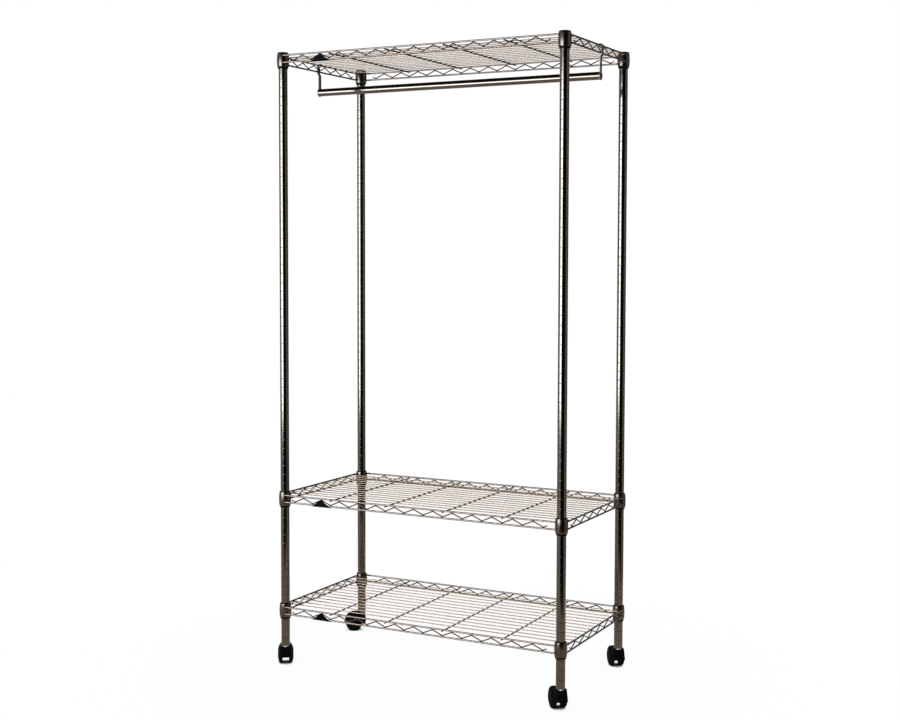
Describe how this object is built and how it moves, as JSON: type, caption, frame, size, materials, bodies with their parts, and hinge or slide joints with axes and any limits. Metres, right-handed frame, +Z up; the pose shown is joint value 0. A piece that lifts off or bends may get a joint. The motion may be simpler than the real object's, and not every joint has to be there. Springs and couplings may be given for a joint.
{
  "type": "rolling clothes rack",
  "caption": "Rolling wire clothes rack: zigzag-edged shelves wedged on grooved bronze posts, a hanging rod below the top shelf and hooded swivel casters.",
  "frame": {"origin": "on the floor, under the middle of the rack's box with the casters as they stand", "axes": "+X along the rack to the right as seen from the front, +Y to the back, +Z up"},
  "size_m": [0.9514, 0.5038, 1.785],
  "materials": {
    "post_plating": "dark bronze plating, glossy",
    "collar_plating": "dark bronze plating, glossy",
    "wire_plating": "dark bronze plating, satin",
    "rod_plating": "dark bronze plating, glossy",
    "strap_plating": "bronze plating, satin",
    "plain_steel": "zinc plated",
    "black_plastic": "satin moulded",
    "hood_plastic": "satin moulded",
    "wheel_plastic": "satin moulded"
  },
  "bodies": {
    "frame": {"caster_stem_back_left": "plain_steel", "caster_stem_back_right": "plain_steel", "caster_stem_front_left": "plain_steel", "caster_stem_front_right": "plain_steel", "collars_bottom": "collar_plating", "collars_top": "collar_plating", "cross_wires_bottom": "wire_plating", "cross_wires_top": "wire_plating", "deck_wires_bottom": "wire_plating", "deck_wires_top": "wire_plating", "name_plate_bottom": "black_plastic", "name_plate_top": "black_plastic", "post_caps": "black_plastic", "post_foot_sockets": "plain_steel", "post_joint_inserts": "plain_steel", "post_joint_studs": "plain_steel", "post_lower_back_left": "post_plating", "post_lower_back_right": "post_plating", "post_lower_front_left": "post_plating", "post_lower_front_right": "post_plating", "post_upper_back_left": "post_plating", "post_upper_back_right": "post_plating", "post_upper_front_left": "post_plating", "post_upper_front_right": "post_plating", "rails_bottom": "wire_plating", "rails_top": "wire_plating", "sleeves_bottom": "black_plastic", "sleeves_middle": "black_plastic", "sleeves_top": "black_plastic", "trusses_bottom": "wire_plating", "trusses_top": "wire_plating"},
    "middle_shelf": {"collars_middle": "collar_plating", "rails_middle": "wire_plating", "trusses_middle": "wire_plating", "deck_wires_middle": "wire_plating", "cross_wires_middle": "wire_plating", "name_plate_middle": "black_plastic"},
    "hang_rod": {"hang_rod_plugs": "black_plastic", "hang_rod_screws": "strap_plating", "hang_rod_tube": "rod_plating", "hang_strap_left": "strap_plating", "hang_strap_right": "strap_plating"},
    "caster_front_left": {"caster_hood_front_left": "hood_plastic", "caster_axle_front_left": "plain_steel"},
    "wheel_left_front_left": {"wheel_left_front_left": "wheel_plastic"},
    "wheel_right_front_left": {"wheel_right_front_left": "wheel_plastic"},
    "caster_front_right": {"caster_hood_front_right": "hood_plastic", "caster_axle_front_right": "plain_steel"},
    "wheel_left_front_right": {"wheel_left_front_right": "wheel_plastic"},
    "wheel_right_front_right": {"wheel_right_front_right": "wheel_plastic"},
    "caster_back_left": {"caster_hood_back_left": "hood_plastic", "caster_axle_back_left": "plain_steel"},
    "wheel_left_back_left": {"wheel_left_back_left": "wheel_plastic"},
    "wheel_right_back_left": {"wheel_right_back_left": "wheel_plastic"},
    "caster_back_right": {"caster_hood_back_right": "hood_plastic", "caster_axle_back_right": "plain_steel"},
    "wheel_left_back_right": {"wheel_left_back_right": "wheel_plastic"},
    "wheel_right_back_right": {"wheel_right_back_right": "wheel_plastic"}
  },
  "joints": [
    {"name": "middle_shelf_lift", "type": "slide", "parent": "frame", "child": "middle_shelf", "axis": [0, 0, 1], "range_m": [0, 1.143]},
    {"name": "hang_rod_lift", "type": "slide", "parent": "frame", "child": "hang_rod", "axis": [0, 0, 1], "range_m": [0, 0.003]},
    {"name": "swivel_front_left", "type": "hinge", "parent": "frame", "child": "caster_front_left", "pos_m": [-0.42063, -0.23267, 0.0545], "axis": [0, 0, 1], "continuous": true},
    {"name": "roll_left_front_left", "type": "hinge", "parent": "caster_front_left", "child": "wheel_left_front_left", "pos_m": [-0.43405, -0.21277, 0.026], "axis": [-0.829, -0.5592, 0], "continuous": true},
    {"name": "roll_right_front_left", "type": "hinge", "parent": "caster_front_left", "child": "wheel_right_front_left", "pos_m": [-0.43405, -0.21277, 0.026], "axis": [-0.829, -0.5592, 0], "continuous": true},
    {"name": "swivel_front_right", "type": "hinge", "parent": "frame", "child": "caster_front_right", "pos_m": [0.45537, -0.23267, 0.0545], "axis": [0, 0, 1], "continuous": true},
    {"name": "roll_left_front_right", "type": "hinge", "parent": "caster_front_right", "child": "wheel_left_front_right", "pos_m": [0.43975, -0.21445, 0.026], "axis": [-0.7593, -0.6508, 0], "continuous": true},
    {"name": "roll_right_front_right", "type": "hinge", "parent": "caster_front_right", "child": "wheel_right_front_right", "pos_m": [0.43975, -0.21445, 0.026], "axis": [-0.7593, -0.6508, 0], "continuous": true},
    {"name": "swivel_back_left", "type": "hinge", "parent": "frame", "child": "caster_back_left", "pos_m": [-0.42063, 0.19933, 0.0545], "axis": [0, 0, 1], "continuous": true},
    {"name": "roll_left_back_left", "type": "hinge", "parent": "caster_back_left", "child": "wheel_left_back_left", "pos_m": [-0.44162, 0.1877, 0.026], "axis": [0.4848, -0.8746, 0], "continuous": true},
    {"name": "roll_right_back_left", "type": "hinge", "parent": "caster_back_left", "child": "wheel_right_back_left", "pos_m": [-0.44162, 0.1877, 0.026], "axis": [0.4848, -0.8746, 0], "continuous": true},
    {"name": "swivel_back_right", "type": "hinge", "parent": "frame", "child": "caster_back_right", "pos_m": [0.45537, 0.19933, 0.0545], "axis": [0, 0, 1], "continuous": true},
    {"name": "roll_left_back_right", "type": "hinge", "parent": "caster_back_right", "child": "wheel_left_back_right", "pos_m": [0.44059, 0.21824, 0.026], "axis": [-0.788, -0.6157, 0], "continuous": true},
    {"name": "roll_right_back_right", "type": "hinge", "parent": "caster_back_right", "child": "wheel_right_back_right", "pos_m": [0.44059, 0.21824, 0.026], "axis": [-0.788, -0.6157, 0], "continuous": true}
  ]
}
